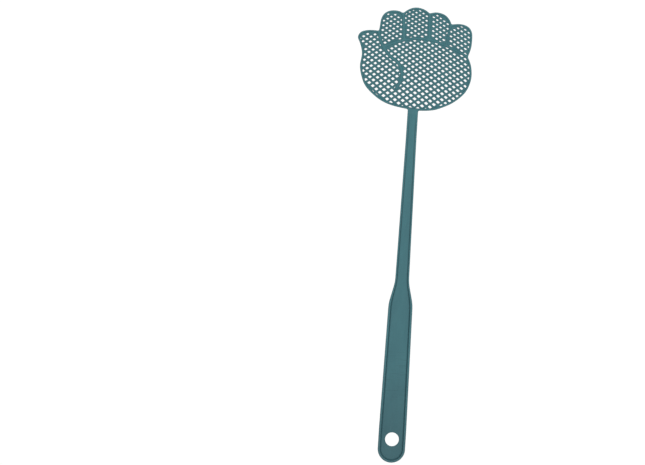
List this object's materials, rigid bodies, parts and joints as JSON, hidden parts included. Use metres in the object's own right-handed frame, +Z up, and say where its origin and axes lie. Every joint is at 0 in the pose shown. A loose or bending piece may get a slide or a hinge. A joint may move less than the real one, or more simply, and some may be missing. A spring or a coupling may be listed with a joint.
{
  "type": "fly swatter",
  "caption": "Hand-shaped fly swatter moulded in one piece: a rimmed grip with a hang hole, a slim flexible stem and an open diamond-mesh head with fingers, thumb and palm creases.",
  "frame": {"origin": "centre of the hang hole, halfway through the web of the grip", "axes": "+X across the swatter from the thumb to the little finger, +Y from the front face to the back, +Z up along the stem from the grip to the head"},
  "size_m": [0.1145, 0.005, 0.4498],
  "materials": {
    "teal_plastic": "satin moulded polypropylene in greyed teal"
  },
  "bodies": {
    "grip": {"grip_web": "teal_plastic", "grip_end_rim": "teal_plastic", "grip_left_rim": "teal_plastic", "grip_right_rim": "teal_plastic", "shoulder_web": "teal_plastic", "shoulder_left_rib": "teal_plastic", "shoulder_right_rib": "teal_plastic"},
    "lower_stem": {"lower_stem_web": "teal_plastic", "lower_stem_left_rib": "teal_plastic", "lower_stem_right_rib": "teal_plastic"},
    "upper_stem": {"upper_stem_web": "teal_plastic", "upper_stem_left_rib": "teal_plastic", "upper_stem_right_rib": "teal_plastic"},
    "head": {"neck": "teal_plastic", "palm_rim": "teal_plastic", "thumb_rim": "teal_plastic", "index_finger_rim": "teal_plastic", "middle_finger_rim": "teal_plastic", "ring_finger_rim": "teal_plastic", "little_finger_rim": "teal_plastic", "palm_mesh": "teal_plastic", "index_finger_mesh": "teal_plastic", "middle_finger_mesh": "teal_plastic", "ring_finger_mesh": "teal_plastic", "little_finger_mesh": "teal_plastic", "thumb_crease": "teal_plastic", "knuckle_crease": "teal_plastic", "index_middle_crease": "teal_plastic", "middle_ring_crease": "teal_plastic", "ring_little_crease": "teal_plastic"}
  },
  "joints": [
    {"name": "root_flex", "type": "hinge", "parent": "grip", "child": "lower_stem", "pos_m": [0, 0, 0.175], "axis": [1, 0, 0], "range_deg": [-12, 12], "stiffness_Nm_per_rad": 0.5},
    {"name": "stem_flex", "type": "hinge", "parent": "lower_stem", "child": "upper_stem", "pos_m": [0, 0, 0.24015], "axis": [1, 0, 0], "range_deg": [-16, 16], "stiffness_Nm_per_rad": 0.35},
    {"name": "neck_flex", "type": "hinge", "parent": "upper_stem", "child": "head", "pos_m": [0, 0, 0.3053], "axis": [1, 0, 0], "range_deg": [-20, 20], "stiffness_Nm_per_rad": 0.25}
  ]
}
